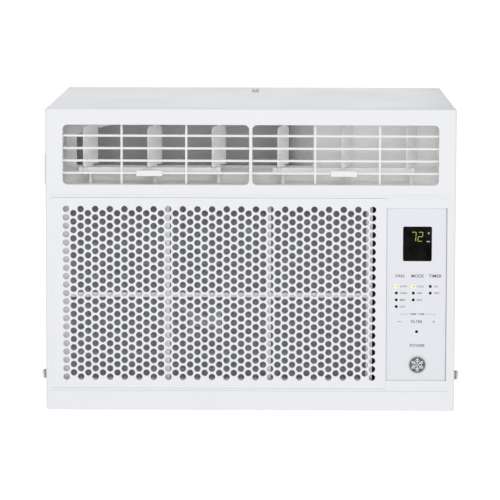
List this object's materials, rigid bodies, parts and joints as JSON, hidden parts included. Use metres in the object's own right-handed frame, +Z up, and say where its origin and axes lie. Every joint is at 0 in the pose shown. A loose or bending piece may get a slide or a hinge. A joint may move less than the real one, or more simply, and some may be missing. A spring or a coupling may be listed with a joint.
{
  "type": "window air conditioner",
  "caption": "White window air conditioner: barred air outlet with swivelling louvres, perforated tilt-out inlet over a slide-out filter, and a key panel with a lit display.",
  "frame": {"origin": "on the underside, at the middle of the unit's outline", "axes": "+X to the right as seen from the room, +Y out of the window towards the rear guard, +Z up"},
  "size_m": [0.4826, 0.4, 0.3518],
  "materials": {
    "front_moulding": "fine satin",
    "louvre_moulding": "satin",
    "filter_moulding": "satin",
    "filter_net": "fine woven net",
    "panel_film": "smooth satin film",
    "display_glass": "glossy smoked",
    "lamp_lens": "glossy",
    "badge_foil": "glossy dome",
    "circuit_board": "lacquered",
    "inner_moulding": "satin",
    "fan_moulding": "satin",
    "cabinet_paint": "fine powder coat",
    "galvanised_steel": "galvanised",
    "bright_steel": "zinc plated",
    "coil_fins": "thin fins",
    "copper_tube": "drawn copper",
    "black_enamel": "gloss enamel",
    "rubber": "matt",
    "foam": "expanded bead foam"
  },
  "bodies": {
    "chassis": {"front_frame": "front_moulding", "outlet_grille": "front_moulding", "release_tab": "front_moulding", "outlet_duct": "louvre_moulding", "control_film": "panel_film", "display_window": "display_glass", "light_guide": "lamp_lens", "filter_lamp": "lamp_lens", "badge": "badge_foil", "control_board": "circuit_board", "control_box": "inner_moulding", "cabinet": "cabinet_paint", "rear_guard": "cabinet_paint", "base_pan": "galvanised_steel", "bulkhead": "galvanised_steel", "fan_shroud": "galvanised_steel", "motor_bracket": "galvanised_steel", "side_screw_left": "bright_steel", "side_screw_right": "bright_steel", "top_screw": "bright_steel", "run_capacitor": "bright_steel", "evaporator_coil": "coil_fins", "condenser_coil": "coil_fins", "suction_line": "copper_tube", "discharge_line": "copper_tube", "capillary_tube": "copper_tube", "filter_drier": "copper_tube", "accumulator": "copper_tube", "compressor": "black_enamel", "fan_motor": "black_enamel", "compressor_grommet_1": "rubber", "compressor_grommet_2": "rubber", "compressor_grommet_3": "rubber", "cord_gland": "rubber", "drain_plug": "rubber", "orifice_plate": "foam", "air_scroll": "foam", "room_sensor": "foam"},
    "inlet_grille": {"inlet_grille": "front_moulding"},
    "air_filter": {"filter_frame": "filter_moulding", "filter_mesh": "filter_net"},
    "fan_rotor": {"motor_shaft": "bright_steel", "blower_wheel": "inner_moulding", "condenser_fan": "fan_moulding"},
    "link_bar_left": {"link_bar_left": "louvre_moulding"},
    "link_bar_right": {"link_bar_right": "louvre_moulding"},
    "louvre_1": {"louvre_1": "louvre_moulding"},
    "louvre_2": {"louvre_2": "louvre_moulding"},
    "louvre_3": {"louvre_3": "louvre_moulding"},
    "louvre_4": {"louvre_4": "louvre_moulding"},
    "louvre_5": {"louvre_5": "louvre_moulding"},
    "louvre_6": {"louvre_6": "louvre_moulding"},
    "fan_key": {"fan_key": "panel_film"},
    "mode_key": {"mode_key": "panel_film"},
    "timer_key": {"timer_key": "panel_film"},
    "minus_key": {"minus_key": "panel_film"},
    "filter_key": {"filter_key": "panel_film"},
    "plus_key": {"plus_key": "panel_film"},
    "power_key": {"power_key": "panel_film"}
  },
  "joints": [
    {"name": "inlet_grille_tilt", "type": "hinge", "parent": "chassis", "child": "inlet_grille", "pos_m": [0, -0.1997, 0.026], "axis": [1, 0, 0], "range_deg": [0, 40]},
    {"name": "filter_slide", "type": "slide", "parent": "chassis", "child": "air_filter", "axis": [-1, 0, 0], "range_m": [0, 0.36]},
    {"name": "louvre_2_turn", "type": "hinge", "parent": "chassis", "child": "louvre_2", "pos_m": [-0.1109, -0.17, 0.26], "axis": [0, 0, 1], "range_deg": [-10, 70]},
    {"name": "louvre_1_turn", "type": "hinge", "parent": "chassis", "child": "louvre_1", "pos_m": [-0.1848, -0.17, 0.26], "axis": [0, 0, 1], "range_deg": [-10, 70]},
    {"name": "louvre_3_turn", "type": "hinge", "parent": "chassis", "child": "louvre_3", "pos_m": [-0.037, -0.17, 0.26], "axis": [0, 0, 1], "range_deg": [-10, 70]},
    {"name": "link_bar_left_pivot", "type": "hinge", "parent": "louvre_2", "child": "link_bar_left", "pos_m": [-0.1161, -0.17901, 0.275], "axis": [0, 0, 1], "range_deg": [-70, 10]},
    {"name": "louvre_5_turn", "type": "hinge", "parent": "chassis", "child": "louvre_5", "pos_m": [0.1109, -0.17, 0.26], "axis": [0, 0, 1], "range_deg": [-16, 64]},
    {"name": "louvre_4_turn", "type": "hinge", "parent": "chassis", "child": "louvre_4", "pos_m": [0.037, -0.17, 0.26], "axis": [0, 0, 1], "range_deg": [-16, 64]},
    {"name": "louvre_6_turn", "type": "hinge", "parent": "chassis", "child": "louvre_6", "pos_m": [0.1848, -0.17, 0.26], "axis": [0, 0, 1], "range_deg": [-16, 64]},
    {"name": "link_bar_right_pivot", "type": "hinge", "parent": "louvre_5", "child": "link_bar_right", "pos_m": [0.10667, -0.1795, 0.275], "axis": [0, 0, 1], "range_deg": [-64, 16]},
    {"name": "fan_spin", "type": "hinge", "parent": "chassis", "child": "fan_rotor", "pos_m": [-0.05, 0, 0.14], "axis": [0, 1, 0], "continuous": true},
    {"name": "fan_key_press", "type": "slide", "parent": "chassis", "child": "fan_key", "axis": [0, 1, 0], "range_m": [0, 0.0006], "stiffness_N_per_m": 400},
    {"name": "mode_key_press", "type": "slide", "parent": "chassis", "child": "mode_key", "axis": [0, 1, 0], "range_m": [0, 0.0006], "stiffness_N_per_m": 400},
    {"name": "timer_key_press", "type": "slide", "parent": "chassis", "child": "timer_key", "axis": [0, 1, 0], "range_m": [0, 0.0006], "stiffness_N_per_m": 400},
    {"name": "minus_key_press", "type": "slide", "parent": "chassis", "child": "minus_key", "axis": [0, 1, 0], "range_m": [0, 0.0006], "stiffness_N_per_m": 400},
    {"name": "filter_key_press", "type": "slide", "parent": "chassis", "child": "filter_key", "axis": [0, 1, 0], "range_m": [0, 0.0006], "stiffness_N_per_m": 400},
    {"name": "plus_key_press", "type": "slide", "parent": "chassis", "child": "plus_key", "axis": [0, 1, 0], "range_m": [0, 0.0006], "stiffness_N_per_m": 400},
    {"name": "power_key_press", "type": "slide", "parent": "chassis", "child": "power_key", "axis": [0, 1, 0], "range_m": [0, 0.0006], "stiffness_N_per_m": 400}
  ],
  "couplings": [
    {"joint": "louvre_1_turn", "follows": "louvre_2_turn", "ratio": 1},
    {"joint": "louvre_3_turn", "follows": "louvre_2_turn", "ratio": 1},
    {"joint": "link_bar_left_pivot", "follows": "louvre_2_turn", "ratio": -1},
    {"joint": "louvre_4_turn", "follows": "louvre_5_turn", "ratio": 1},
    {"joint": "louvre_6_turn", "follows": "louvre_5_turn", "ratio": 1},
    {"joint": "link_bar_right_pivot", "follows": "louvre_5_turn", "ratio": -1}
  ]
}
